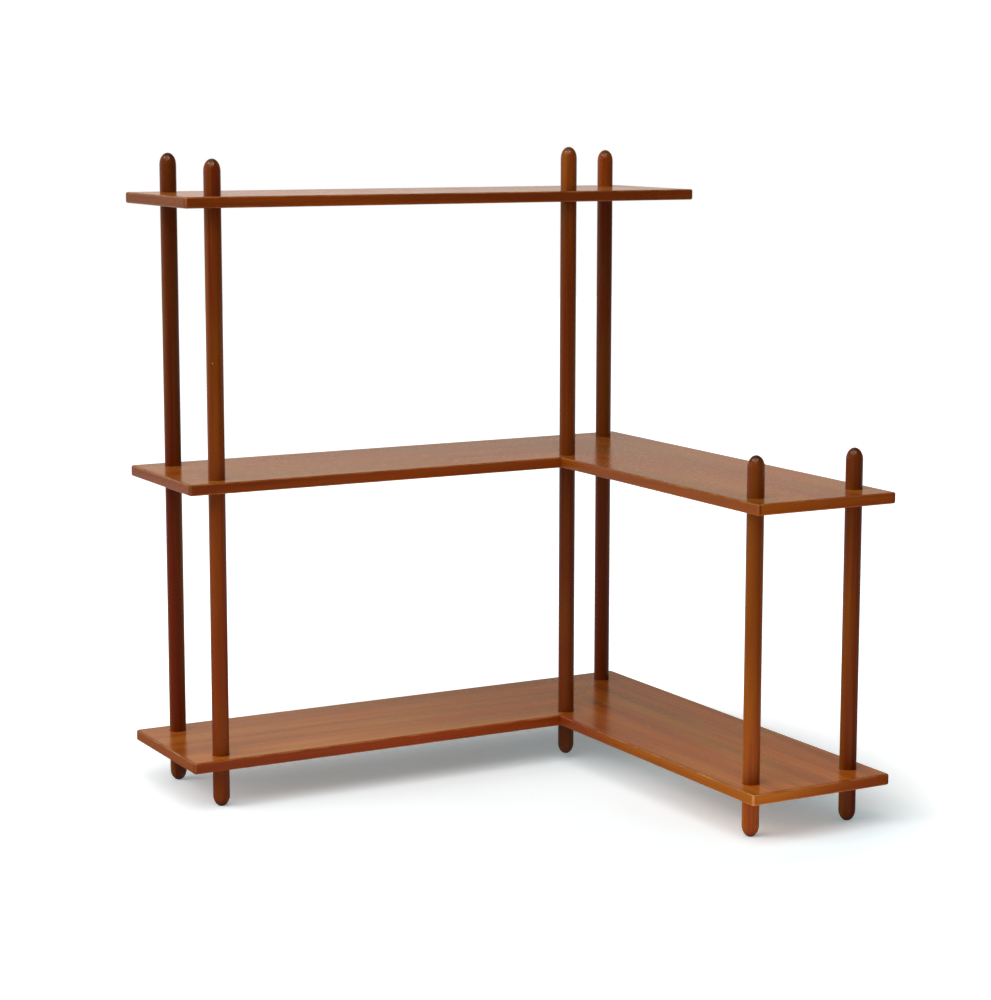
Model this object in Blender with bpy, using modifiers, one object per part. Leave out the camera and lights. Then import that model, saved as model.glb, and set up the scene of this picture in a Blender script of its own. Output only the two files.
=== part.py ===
"""Corner shelving unit: an L of lipped boards on six round posts with rounded ends.

Metres, +Z up. The floor is z = 0, and the origin lies under the middle of the unit's outline.
The left run lies along X at the rear, and the right run comes forward along -Y from its right end.
"""
import math
from dataclasses import dataclass

import bmesh
import bpy
from mathutils import Vector

# Runs and boards
LEFT_RUN = 0.895
RIGHT_RUN = 0.810
DEPTH = 0.250
BOARD = 0.017
LEVEL_PITCH = 0.430
LIPPING = 0.006
ARRIS = 0.003
ARRIS_SEGMENTS = 3

# Posts, with their finials measured from the board that they stand through
POST = 0.026
TIP = 0.018
FOOT = 0.064
FOOT_FLAT = 0.008
FINIAL = 0.061
LEFT_FRONT_FINIAL = 0.0555
RIGHT_FINIAL = 0.0625
INNER_RISE = 0.009
POST_SEGMENTS = 32
TIP_ROWS = 5

# Where the posts' axes lie: from a long edge, from a free end, and from both edges at each corner
EDGE_INSET = 0.036
END_INSET = 0.058
INNER_INSET = 0.026
OUTER_INSET = 0.050

# Screws, driven at a slope from a board's underside into a post
SCREW_SHANK = 0.0035
SCREW_HEAD = 0.007
SCREW_HEAD_RIM = 0.0004
SCREW_HEAD_HEIGHT = 0.0022
SCREW_POINT = 0.005
SCREW_SLOPE = math.radians(35.0)
SCREW_SETBACK = 0.009
SCREW_BITE = 0.010
SCREW_COVER = 0.0004
SLOT_LENGTH = 0.0038
SLOT_WIDTH = 0.0009
SLOT_DEPTH = 0.0014
SCREW_SEGMENTS = 12

# Dowels across each mitre
DOWEL = 0.008
DOWEL_LENGTH = 0.036
DOWEL_CHAMFER = 0.001
DOWEL_SEGMENTS = 16

# Air between touching pieces, how far a cutter runs past what it cuts, and what counts as one point
GAP = 0.0003
OVERRUN = 0.010
SAME_POINT = 0.00001

# Places that follow from the sizes above
LEFT = -LEFT_RUN / 2
RIGHT = LEFT_RUN / 2
NEAR = -RIGHT_RUN / 2
REAR = RIGHT_RUN / 2
FRONT = REAR - DEPTH
INNER = RIGHT - DEPTH
BOTTOM_TOP = FOOT + BOARD
MIDDLE_TOP = BOTTOM_TOP + LEVEL_PITCH
TOP_TOP = MIDDLE_TOP + LEVEL_PITCH
DIAGONAL = Vector((1.0, 1.0, 0.0)).normalized()
ACROSS_MITRE = Vector((1.0, -1.0, 0.0)).normalized()
SHARP_ANGLE = math.radians(40.0)


@dataclass(frozen=True)
class Board:
    """One board in plan: it runs along axis 0 (X) or 1 (Y), and side says where a mitre cuts it."""

    name: str
    low: tuple
    high: tuple
    top: float
    along: int
    long_edges: tuple
    ends: tuple
    mitre_side: int
    posts: tuple


@dataclass(frozen=True)
class Post:
    """One post: the place of its axis, and the heights of its foot and its tip above the floor."""

    x: float
    y: float
    foot: float
    tip: float


POSTS = {
    "left_rear": Post(LEFT + END_INSET, REAR - EDGE_INSET, 0.0, TOP_TOP + FINIAL),
    "left_front": Post(LEFT + END_INSET, FRONT + EDGE_INSET, 0.0, TOP_TOP + LEFT_FRONT_FINIAL),
    "corner_inner": Post(
        INNER + INNER_INSET, FRONT + INNER_INSET, INNER_RISE, TOP_TOP + FINIAL + INNER_RISE
    ),
    "corner_outer": Post(RIGHT - OUTER_INSET, REAR - OUTER_INSET, 0.0, TOP_TOP + FINIAL),
    "right_inner": Post(INNER + EDGE_INSET, NEAR + END_INSET, 0.0, MIDDLE_TOP + RIGHT_FINIAL),
    "right_outer": Post(RIGHT - EDGE_INSET, NEAR + END_INSET, 0.0, MIDDLE_TOP + RIGHT_FINIAL),
}
INBOARD = Vector((1.0, 0.0, 0.0))
REARWARD = Vector((0.0, 1.0, 0.0))


def left_board(name, top):
    """The board of the left run at one of the two lower levels."""
    posts = (
        ("left_rear", INBOARD),
        ("left_front", INBOARD),
        ("corner_inner", -ACROSS_MITRE),
        ("corner_outer", -ACROSS_MITRE),
    )
    return Board(name, (LEFT, FRONT), (RIGHT, REAR), top, 0, ("front", "rear"), ("end", None), 1, posts)


def right_board(name, top):
    """The board of the right run at one of the two lower levels."""
    posts = (
        ("right_inner", REARWARD),
        ("right_outer", REARWARD),
        ("corner_inner", ACROSS_MITRE),
        ("corner_outer", ACROSS_MITRE),
    )
    return Board(name, (INNER, NEAR), (RIGHT, REAR), top, 1, ("inner", "outer"), ("end", None), -1, posts)


def top_board():
    """The single rectangular board of the top level."""
    posts = (
        ("left_rear", INBOARD),
        ("left_front", INBOARD),
        ("corner_inner", -INBOARD),
        ("corner_outer", -INBOARD),
    )
    edges = ("front", "rear")
    return Board("top", (LEFT, FRONT), (RIGHT, REAR), TOP_TOP, 0, edges, ("left", "right"), 0, posts)


def new_collection(name):
    """A collection linked to the scene."""
    collection = bpy.data.collections.new(name)
    bpy.context.scene.collection.children.link(collection)
    return collection


def finish(name, colour, roughness, metallic):
    """A plain Principled material."""
    material = bpy.data.materials.new(name)
    material.use_nodes = True
    shader = material.node_tree.nodes["Principled BSDF"]
    shader.inputs["Base Color"].default_value = (*colour, 1.0)
    shader.inputs["Roughness"].default_value = roughness
    shader.inputs["Metallic"].default_value = metallic
    return material


def place(name, mesh, collection, material=None):
    """An object for a mesh. Without a material it is a cutter, which is never rendered."""
    piece = bpy.data.objects.new(name, mesh)
    collection.objects.link(piece)
    if material is None:
        piece.hide_render = True
        piece.display_type = "WIRE"
    elif not mesh.materials:
        mesh.materials.append(material)
    return piece


def box_mesh(name, size):
    """A box mesh of the given size about its own middle."""
    mesh = bpy.data.meshes.new(name)
    shape = bmesh.new()
    bmesh.ops.create_cube(shape, size=1.0)
    bmesh.ops.scale(shape, vec=Vector(size), verts=shape.verts)
    shape.to_mesh(mesh)
    shape.free()
    return mesh


def box(name, low, high, collection, material=None):
    """A box between two corners, with its origin in its middle."""
    low, high = Vector(low), Vector(high)
    piece = place(name, box_mesh(name, high - low), collection, material)
    piece.location = (low + high) / 2
    return piece


def turned_mesh(name, profile, segments):
    """Turn (radius, height) points, listed from the top down, once round +Z."""
    outline = bpy.data.meshes.new(name + "_profile")
    points = [(radius, 0.0, height) for radius, height in profile]
    edges = [(index, index + 1) for index in range(len(points) - 1)]
    outline.from_pydata(points, edges, [])
    blank = bpy.data.objects.new(name + "_blank", outline)
    bpy.context.scene.collection.objects.link(blank)
    turn = blank.modifiers.new("Turn", "SCREW")
    turn.steps = segments
    turn.render_steps = segments
    turn.use_merge_vertices = True
    turn.merge_threshold = SAME_POINT
    mesh = baked(blank, name)
    bpy.data.meshes.remove(outline)
    mesh.shade_smooth()
    mesh.set_sharp_from_angle(angle=SHARP_ANGLE)
    return mesh


def baked(piece, name):
    """The mesh that an object's modifiers make. The object is removed."""
    graph = bpy.context.evaluated_depsgraph_get()
    mesh = bpy.data.meshes.new_from_object(piece.evaluated_get(graph))
    mesh.name = name
    bpy.data.objects.remove(piece)
    return mesh


def boolean(piece, cutter, operation="DIFFERENCE"):
    """Cut a piece with another object, by an exact Boolean that stays live."""
    cut = piece.modifiers.new(cutter.name, "BOOLEAN")
    cut.operation = operation
    cut.solver = "EXACT"
    cut.object = cutter


def post_profile(length):
    """A post's outline from its rounded tip down to the small flat under its foot."""
    radius = POST / 2
    flat_angle = math.asin(FOOT_FLAT / POST)
    quarter = math.pi / 2
    tip_angles = [quarter * row / TIP_ROWS for row in range(TIP_ROWS + 1)]
    foot_angles = [quarter + (flat_angle - quarter) * row / TIP_ROWS for row in range(TIP_ROWS + 1)]
    tip = [(radius * math.sin(a), length - TIP + TIP * math.cos(a)) for a in tip_angles]
    foot = [(radius * math.sin(a), TIP * (math.cos(flat_angle) - math.cos(a))) for a in foot_angles]
    return tip + foot + [(0.0, 0.0)]


def screw_length():
    """From the back of a screw's head to its point."""
    return SCREW_SETBACK / math.cos(SCREW_SLOPE) + SCREW_BITE


def screw_profile():
    """A countersunk screw with its head's back at height zero and its point up."""
    shank, head, length = SCREW_SHANK / 2, SCREW_HEAD / 2, screw_length()
    return [
        (0.0, length),
        (shank, length - SCREW_POINT),
        (shank, SCREW_HEAD_HEIGHT),
        (head, SCREW_HEAD_RIM),
        (head, 0.0),
        (0.0, 0.0),
    ]


def pocket_profile():
    """The hole for a screw: its own outline grown by the gap, with a pocket behind the head."""
    shank, head, length = SCREW_SHANK / 2 + GAP, SCREW_HEAD / 2 + GAP, screw_length()
    mouth = -(SCREW_HEAD + SCREW_COVER) / math.sin(SCREW_SLOPE) - OVERRUN
    return [
        (0.0, length + 2 * GAP),
        (shank, length - SCREW_POINT),
        (shank, SCREW_HEAD_HEIGHT + GAP),
        (head, SCREW_HEAD_RIM + GAP),
        (head, mouth),
        (0.0, mouth),
    ]


def dowel_profile(radius, length, chamfer):
    """A dowel about its own middle, with its ends chamfered."""
    half = length / 2
    return [
        (0.0, half),
        (radius - chamfer, half),
        (radius, half - chamfer),
        (radius, chamfer - half),
        (radius - chamfer, -half),
        (0.0, -half),
    ]


def screw_mesh(cutters):
    """The mesh that every screw shares, with a cross recess in its head."""
    blank = place("screw_blank", turned_mesh("screw_blank", screw_profile(), SCREW_SEGMENTS), cutters)
    half_length, half_width = SLOT_LENGTH / 2, SLOT_WIDTH / 2
    for name, x, y in (("slot_x", half_length, half_width), ("slot_y", half_width, half_length)):
        boolean(blank, box(name, (-x, -y, -OVERRUN), (x, y, SLOT_DEPTH), cutters))
    return baked(blank, "screw")


def pieces_of(board):
    """Name and plan rectangle of each piece of a board. Outer edges run out past the board."""
    along, across = board.along, 1 - board.along
    seat = LIPPING + GAP
    ends = [
        board.low[along] + (seat if board.ends[0] else -OVERRUN),
        board.high[along] - (seat if board.ends[1] else -OVERRUN),
    ]
    core = [board.low[across] + seat, board.high[across] - seat]

    def rectangle(along_span, across_span):
        spans = (along_span, across_span) if along == 0 else (across_span, along_span)
        return (spans[0][0], spans[1][0]), (spans[0][1], spans[1][1])

    whole = [board.low[along] - OVERRUN, board.high[along] + OVERRUN]
    low_edge = [board.low[across] - OVERRUN, board.low[across] + LIPPING]
    high_edge = [board.high[across] - LIPPING, board.high[across] + OVERRUN]
    yield "panel", rectangle(ends, core)
    yield board.long_edges[0] + "_lipping", rectangle(whole, low_edge)
    yield board.long_edges[1] + "_lipping", rectangle(whole, high_edge)
    if board.ends[0]:
        span = [board.low[along] - OVERRUN, board.low[along] + LIPPING]
        yield board.ends[0] + "_lipping", rectangle(span, core)
    if board.ends[1]:
        span = [board.high[along] - LIPPING, board.high[along] + OVERRUN]
        yield board.ends[1] + "_lipping", rectangle(span, core)


def make_board(board, parts, cutters, materials, bores, mitre_blocks):
    """A board's panel and lippings, cut at the mitre and bored for the posts. Returns the panel."""
    underside = board.top - BOARD
    panel = None
    for kind, (low, high) in pieces_of(board):
        name = f"{board.name}_{kind}"
        material = materials["veneer" if kind == "panel" else "lipping"]
        piece = box(name, (*board.low, underside), (*board.high, board.top), parts, material)
        rounding = piece.modifiers.new("Arris", "BEVEL")
        rounding.width = ARRIS
        rounding.segments = ARRIS_SEGMENTS
        rounding.limit_method = "NONE"
        region = box(name + "_region", (*low, underside - OVERRUN), (*high, board.top + OVERRUN), cutters)
        boolean(piece, region, "INTERSECT")
        if board.mitre_side:
            boolean(piece, mitre_blocks[board.mitre_side])
        for post_name, _ in board.posts:
            boolean(piece, bores[post_name])
        if kind == "panel":
            panel = piece
    return panel


def make_mitre_block(side, cutters):
    """The block that cuts a board along the corner's diagonal: side 1 left boards, side -1 right ones."""
    span = 2 * DEPTH
    height = MIDDLE_TOP + 2 * OVERRUN
    middle = Vector(((INNER + RIGHT) / 2, (FRONT + REAR) / 2, height / 2 - OVERRUN))
    block = place("mitre_block", box_mesh("mitre_block", (span, span, height)), cutters)
    block.rotation_euler.z = -math.pi / 4
    block.location = middle + ACROSS_MITRE * side * (span - GAP) / 2
    return block


def make_screw(name, board, post_name, outward, meshes, parts, cutters):
    """One slanted screw, and the pocket that it goes in. outward points from the post to its head."""
    post = POSTS[post_name]
    head_height = board.top - BOARD + SCREW_COVER + SCREW_HEAD / 2 * math.cos(SCREW_SLOPE)
    head = Vector((post.x, post.y, head_height)) + outward * (POST / 2 + SCREW_SETBACK)
    direction = Vector((0.0, 0.0, math.sin(SCREW_SLOPE))) - outward * math.cos(SCREW_SLOPE)
    turn = direction.to_track_quat("Z", "Y").to_euler()
    screw = place(name, meshes["screw"], parts, meshes["screw"].materials[0])
    pocket = place(name + "_pocket", meshes["pocket"], cutters)
    for piece in (screw, pocket):
        piece.location = head
        piece.rotation_euler = turn
    return pocket


def make_dowels(level, top, meshes, parts, cutters, panels):
    """The dowels across one level's mitre, which divide the way between the corner posts in three."""
    corner = Vector((INNER, FRONT, top - BOARD / 2))
    first = INNER_INSET * math.sqrt(2.0)
    last = (DEPTH - OUTER_INSET) * math.sqrt(2.0)
    turn = ACROSS_MITRE.to_track_quat("Z", "Y").to_euler()
    for index, name in enumerate(("inner", "outer"), start=1):
        dowel = place(f"{level}_{name}_dowel", meshes["dowel"], parts, meshes["dowel"].materials[0])
        hole = place(f"{level}_{name}_dowel_hole", meshes["dowel_hole"], cutters)
        for piece in (dowel, hole):
            piece.location = corner + DIAGONAL * (first + (last - first) * index / 3)
            piece.rotation_euler = turn
        for panel in panels:
            boolean(panel, hole)


def main():
    """Clear the scene and model the unit."""
    for leftover in list(bpy.data.objects):
        bpy.data.objects.remove(leftover)
    parts = new_collection("corner_shelving_unit")
    cutters = new_collection("cutters")
    materials = {
        "veneer": finish("veneer", (0.40, 0.20, 0.11), 0.42, 0.0),
        "lipping": finish("lipping", (0.34, 0.13, 0.055), 0.40, 0.0),
        "post": finish("post", (0.27, 0.10, 0.045), 0.36, 0.0),
        "steel": finish("steel", (0.52, 0.51, 0.49), 0.34, 1.0),
        "beech": finish("beech", (0.60, 0.42, 0.26), 0.60, 0.0),
    }

    posts = {}
    bores = {}
    bore_radius = POST / 2 + GAP
    for name, post in POSTS.items():
        mesh = turned_mesh("post_" + name, post_profile(post.tip - post.foot), POST_SEGMENTS)
        posts[name] = place("post_" + name, mesh, parts, materials["post"])
        posts[name].location = (post.x, post.y, post.foot)
        outline = [(0.0, post.tip), (bore_radius, post.tip), (bore_radius, -OVERRUN), (0.0, -OVERRUN)]
        bores[name] = place("bore_" + name, turned_mesh("bore_" + name, outline, POST_SEGMENTS), cutters)
        bores[name].location = (post.x, post.y, 0.0)

    meshes = {
        "screw": screw_mesh(cutters),
        "pocket": turned_mesh("pocket", pocket_profile(), SCREW_SEGMENTS),
        "dowel": turned_mesh("dowel", dowel_profile(DOWEL / 2, DOWEL_LENGTH, DOWEL_CHAMFER), DOWEL_SEGMENTS),
        "dowel_hole": turned_mesh(
            "dowel_hole", dowel_profile(DOWEL / 2 + GAP, DOWEL_LENGTH + 2 * GAP, GAP), DOWEL_SEGMENTS
        ),
    }
    meshes["screw"].materials.append(materials["steel"])
    meshes["dowel"].materials.append(materials["beech"])

    mitre_blocks = {side: make_mitre_block(side, cutters) for side in (1, -1)}
    boards = [
        top_board(),
        left_board("middle_left", MIDDLE_TOP),
        right_board("middle_right", MIDDLE_TOP),
        left_board("bottom_left", BOTTOM_TOP),
        right_board("bottom_right", BOTTOM_TOP),
    ]
    panels = {}
    for board in boards:
        panel = make_board(board, parts, cutters, materials, bores, mitre_blocks)
        panels[board.name] = panel
        for post_name, outward in board.posts:
            name = f"{board.name}_{post_name}_screw"
            pocket = make_screw(name, board, post_name, outward, meshes, parts, cutters)
            boolean(panel, pocket)
            boolean(posts[post_name], pocket)
    for level, top in (("middle", MIDDLE_TOP), ("bottom", BOTTOM_TOP)):
        joined = (panels[level + "_left"], panels[level + "_right"])
        make_dowels(level, top, meshes, parts, cutters, joined)


main()
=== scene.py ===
"""Looks of a corner shelving unit in satin teak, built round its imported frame.

Metres, +Z up. The left run lies along X at the rear, the right run comes forward along -Y.
"""
from __future__ import annotations

import logging
import math
from dataclasses import dataclass, field, replace
from enum import Enum
from typing import Any, Iterator, Sequence

import bmesh
import bpy
from mathutils import Matrix, Vector

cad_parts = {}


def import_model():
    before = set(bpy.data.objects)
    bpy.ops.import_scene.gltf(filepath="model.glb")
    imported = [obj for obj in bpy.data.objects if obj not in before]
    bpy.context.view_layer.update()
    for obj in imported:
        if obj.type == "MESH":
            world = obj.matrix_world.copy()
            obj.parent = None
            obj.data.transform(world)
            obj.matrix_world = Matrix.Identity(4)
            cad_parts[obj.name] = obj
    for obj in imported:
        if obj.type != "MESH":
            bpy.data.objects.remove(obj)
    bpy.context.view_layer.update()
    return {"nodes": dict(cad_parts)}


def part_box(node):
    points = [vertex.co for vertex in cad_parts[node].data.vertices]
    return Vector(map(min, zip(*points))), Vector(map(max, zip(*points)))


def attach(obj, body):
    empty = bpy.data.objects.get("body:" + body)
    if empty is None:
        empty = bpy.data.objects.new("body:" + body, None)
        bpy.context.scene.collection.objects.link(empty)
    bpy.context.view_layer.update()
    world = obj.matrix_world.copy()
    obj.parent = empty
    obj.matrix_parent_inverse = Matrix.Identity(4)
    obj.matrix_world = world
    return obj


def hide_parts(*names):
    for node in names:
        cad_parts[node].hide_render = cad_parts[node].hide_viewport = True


log = logging.getLogger("shelving")

BODY = "root"
PICTURE = (991, 1000)
Colour = tuple[float, float, float]
Point = tuple[float, float, float]
WHITE: Colour = (1.0, 1.0, 1.0)


class Grain(Enum):
    """The axis that a piece's grain runs along."""

    X = (1.0, 0.0, 0.0)
    Y = (0.0, 1.0, 0.0)
    Z = (0.0, 0.0, 1.0)


class Tree(Enum):
    """What a node group makes."""

    SHADER = "ShaderNodeTree"
    GEOMETRY = "GeometryNodeTree"


@dataclass(frozen=True)
class Ramp:
    """A smooth step from a first value, up to its start, to a last one, from its stop on."""

    start: float
    stop: float
    first: float = 0.0
    last: float = 1.0


@dataclass(frozen=True)
class Noise:
    """A noise between 0 and 1: its cycles per metre along each axis, its detail and roughness."""

    scale: Point
    detail: float = 2.0
    rough: float = 0.5


@dataclass(frozen=True)
class Spot:
    """A value that changes with the distance from a middle."""

    middle: Point
    ramp: Ramp


class Graph:
    """Adds and links the nodes of one node tree."""

    def __init__(self, tree: bpy.types.NodeTree) -> None:
        """Keep the tree that is filled."""
        self.tree = tree

    @classmethod
    def group(
        cls, name: str, kind: Tree, inputs: dict[str, str], outputs: dict[str, str]
    ) -> tuple[Graph, Any, Any]:
        """Start an empty node group.

        Args:
            name: The group's name.
            kind: What it makes.
            inputs: Kind of each input socket, by its name.
            outputs: Kind of each output socket, by its name.

        Returns:
            The graph, what the group is given, and what it has to give back.
        """
        tree = bpy.data.node_groups.new(name, kind.value)
        for way, sockets in (("INPUT", inputs), ("OUTPUT", outputs)):
            for label, socket in sockets.items():
                tree.interface.new_socket(name=label, in_out=way, socket_type="NodeSocket" + socket)
        graph = cls(tree)
        return graph, graph.node("NodeGroupInput").outputs, graph.node("NodeGroupOutput").inputs

    def put(self, target: bpy.types.NodeSocket, value: Any) -> None:
        """Link a socket to another one, or set its plain value.

        Args:
            target: The input socket.
            value: An output socket, a number, a vector or a colour.
        """
        if isinstance(value, bpy.types.NodeSocket):
            self.tree.links.new(value, target)
        elif isinstance(value, (tuple, list)) and len(value) == 3 and target.type == "RGBA":
            target.default_value = (*value, 1.0)
        else:
            target.default_value = value

    def node(self, kind: str, inputs: dict | None = None, **settings: Any) -> bpy.types.Node:
        """Add a node.

        Args:
            kind: Blender's identifier of the node type.
            inputs: Values or sockets, by the input's name or index.
            settings: Properties of the node itself.

        Returns:
            The new node.
        """
        made = self.tree.nodes.new(kind)
        for name, value in settings.items():
            setattr(made, name, value)
        for key, value in (inputs or {}).items():
            self.put(made.inputs[key], value)
        return made

    def use(self, tree: bpy.types.NodeTree, inputs: dict[str, Any]) -> Any:
        """Place a shared shader group and give its outputs."""
        return self.node("ShaderNodeGroup", inputs, node_tree=tree).outputs

    def math(self, operation: str, *values: Any, clamp: bool = False) -> bpy.types.NodeSocket:
        """A Math node's result, of one, two or three values or sockets."""
        made = self.node("ShaderNodeMath", dict(enumerate(values)), operation=operation, use_clamp=clamp)
        return made.outputs[0]

    def vector(self, operation: str, *values: Any, output: int = 0) -> bpy.types.NodeSocket:
        """A Vector Math node's result, of one or two vectors or sockets."""
        made = self.node("ShaderNodeVectorMath", dict(enumerate(values)), operation=operation)
        return made.outputs[output]

    def parts(self, vector: Any) -> Any:
        """A vector's three parts, by their names or their order."""
        return self.node("ShaderNodeSeparateXYZ", {0: vector}).outputs

    def remap(self, value: Any, ramp: Ramp) -> bpy.types.NodeSocket:
        """Read a ramp.

        Args:
            value: Where on the ramp it is read.
            ramp: The ramp.

        Returns:
            The ramp's value there.
        """
        inputs = {"Value": value, "From Min": ramp.start, "From Max": ramp.stop}
        inputs.update({"To Min": ramp.first, "To Max": ramp.last})
        return self.node("ShaderNodeMapRange", inputs, interpolation_type="SMOOTHSTEP").outputs[0]

    def spot(self, place: Any, spot: Spot) -> bpy.types.NodeSocket:
        """A spot's value at a place."""
        return self.remap(self.vector("DISTANCE", place, spot.middle, output=1), spot.ramp)

    def noise(self, place: Any, noise: Noise) -> bpy.types.NodeSocket:
        """Read a noise.

        Args:
            place: Where it is read.
            noise: The noise.

        Returns:
            The noise's value there, between 0 and 1.
        """
        scaled = self.vector("MULTIPLY", place, noise.scale)
        inputs = {"Vector": scaled, "Scale": 1.0, "Detail": noise.detail, "Roughness": noise.rough}
        return self.node("ShaderNodeTexNoise", inputs).outputs["Fac"]

    def swing(self, place: Any, noise: Noise) -> bpy.types.NodeSocket:
        """A noise's value at a place, between -0.5 and 0.5."""
        return self.math("SUBTRACT", self.noise(place, noise), 0.5)

    def blend(self, share: Any, first: Any, second: Any) -> bpy.types.NodeSocket:
        """Two numbers mixed by the second one's share."""
        return self.node("ShaderNodeMix", {0: share, 2: first, 3: second}, data_type="FLOAT").outputs[0]

    def mix(self, share: Any, first: Any, second: Any, blend: str = "MIX") -> bpy.types.NodeSocket:
        """Mix two colours.

        Args:
            share: The second colour's share.
            first: The first colour.
            second: The second colour.
            blend: Blender's name for the way of mixing.

        Returns:
            The mixed colour.
        """
        made = self.node("ShaderNodeMix", data_type="RGBA", blend_type=blend)
        colours = [socket for socket in made.inputs if socket.type == "RGBA"]
        self.put(made.inputs["Factor"], share)
        self.put(colours[0], first)
        self.put(colours[1], second)
        return next(socket for socket in made.outputs if socket.type == "RGBA")

    def dressed(self, made: bpy.types.NodeSocket, finish: Any, result: Any) -> bpy.types.NodeTree:
        """End a geometry tree with real meshes that wear a finish.

        Args:
            made: The geometry.
            finish: The material.
            result: What the tree has to give back.

        Returns:
            The tree.
        """
        real = self.node("GeometryNodeRealizeInstances", {0: made}).outputs[0]
        worn_and_lit = self.node("GeometryNodeSetMaterial", {"Geometry": real, "Material": finish})
        self.put(result["Geometry"], worn_and_lit.outputs[0])
        return self.tree


class ShaderGroups:
    """The shader groups that several finishes share, each built once.

    The wood's noises run along local X, which a finish turns to the piece's grain.
    """

    SWAY = Noise((1.7, 8.0, 8.0))
    SWAY_REACH = 0.011
    BAND = Noise((1.3, 30.0, 30.0), detail=1.0)
    RING = Noise((2.6, 150.0, 150.0), detail=3.0, rough=0.6)
    STREAK = Noise((13.0, 800.0, 800.0))
    STREAK_RELIEF = 0.5
    CLOUD = Noise((3.1, 14.0, 14.0))
    CLOUD_EDGE = Ramp(0.45, 0.62)
    TINT_LEAST = 0.75
    TINT_SWING = 0.5
    PORE = Noise((95.0, 2600.0, 2600.0), detail=1.0)
    PORE_EDGE = Ramp(0.60, 0.74)
    PORE_COLOUR: Colour = (0.018, 0.006, 0.002)
    END_FACING = Ramp(0.25, 0.90)
    END_SPECKLE = Noise((1400.0, 1400.0, 1400.0))
    END_SPECKLE_DEPTH = Ramp(0.3, 0.7, 0.75, 1.0)
    END_COLOUR: Colour = (0.050, 0.012, 0.003)
    # Rounded edges are made paler: partly wear, partly a painted highlight along the arrises.
    ARRIS_TURN = Ramp(0.99, 0.80)
    ARRIS_PATCHES = Noise((38.0, 38.0, 38.0), detail=3.0)
    ARRIS_PATCH_DEPTH = Ramp(0.35, 0.7, 0.25, 1.0)
    SMUDGE = Noise((16.0, 16.0, 16.0), detail=3.0)
    SCUFF = Noise((60.0, 420.0, 420.0))
    SCUFF_SHARE = 0.6
    HOLLOW_GLOSS = -0.10
    RIPPLE = Noise((120.0, 330.0, 330.0), detail=1.0)
    RIPPLE_RELIEF = 0.35

    def __init__(self) -> None:
        """Build every group."""
        self.figure = self._figure()
        self.end_grain = self._end_grain()
        self.arris_wear = self._arris_wear()
        self.varnish = self._varnish()

    def _figure(self) -> bpy.types.NodeTree:
        """Teak figure: broad bands, rings, fine streaks, clouds of another tint, and pores.

        Returns:
            The group.
        """
        inputs = {
            "Vector": "Vector",
            **dict.fromkeys(("Light", "Dark", "Tint"), "Color"),
            **dict.fromkeys(("Band", "Ring", "Streak", "Pore", "Patch"), "Float"),
        }
        outputs = {"Color": "Color", "Height": "Float"}
        graph, given, result = Graph.group("teak_figure", Tree.SHADER, inputs, outputs)
        sway = graph.math("MULTIPLY", graph.swing(given["Vector"], self.SWAY), self.SWAY_REACH)
        shift = graph.node("ShaderNodeCombineXYZ", {"Y": sway, "Z": sway}).outputs[0]
        place = graph.vector("ADD", given["Vector"], shift)
        streak = graph.swing(place, self.STREAK)
        tone = graph.math("MULTIPLY", graph.swing(place, self.BAND), given["Band"])
        tone = graph.math("MULTIPLY_ADD", graph.swing(place, self.RING), given["Ring"], tone)
        tone = graph.math("MULTIPLY_ADD", streak, given["Streak"], tone)
        tone = graph.math("ADD", tone, 0.5, clamp=True)
        colour = graph.mix(tone, given["Dark"], given["Light"])
        cloud = graph.remap(graph.noise(place, self.CLOUD), self.CLOUD_EDGE)
        shade = graph.math("MULTIPLY_ADD", tone, self.TINT_SWING, self.TINT_LEAST)
        grained = graph.vector("MULTIPLY", given["Tint"], shade)
        colour = graph.mix(graph.math("MULTIPLY", cloud, given["Patch"]), colour, grained)
        pore = graph.remap(graph.noise(place, self.PORE), self.PORE_EDGE)
        colour = graph.mix(graph.math("MULTIPLY", pore, given["Pore"]), colour, self.PORE_COLOUR)
        relief = graph.math("SUBTRACT", graph.math("MULTIPLY", streak, self.STREAK_RELIEF), pore)
        graph.put(result["Color"], colour)
        graph.put(result["Height"], relief)
        return graph.tree

    def _end_grain(self) -> bpy.types.NodeTree:
        """Darker, speckled wood where a surface faces along the grain.

        Returns:
            The group.
        """
        inputs = {"Color": "Color", "Axis": "Vector", "Vector": "Vector", "Depth": "Float"}
        graph, given, result = Graph.group("end_grain", Tree.SHADER, inputs, {"Color": "Color"})
        normal = graph.node("ShaderNodeNewGeometry").outputs["Normal"]
        facing = graph.math("ABSOLUTE", graph.vector("DOT_PRODUCT", normal, given["Axis"], output=1))
        speckle = graph.remap(graph.noise(given["Vector"], self.END_SPECKLE), self.END_SPECKLE_DEPTH)
        mask = graph.math("MULTIPLY", graph.remap(facing, self.END_FACING), speckle)
        mask = graph.math("MULTIPLY", mask, given["Depth"])
        graph.put(result["Color"], graph.mix(mask, given["Color"], self.END_COLOUR))
        return graph.tree

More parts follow.
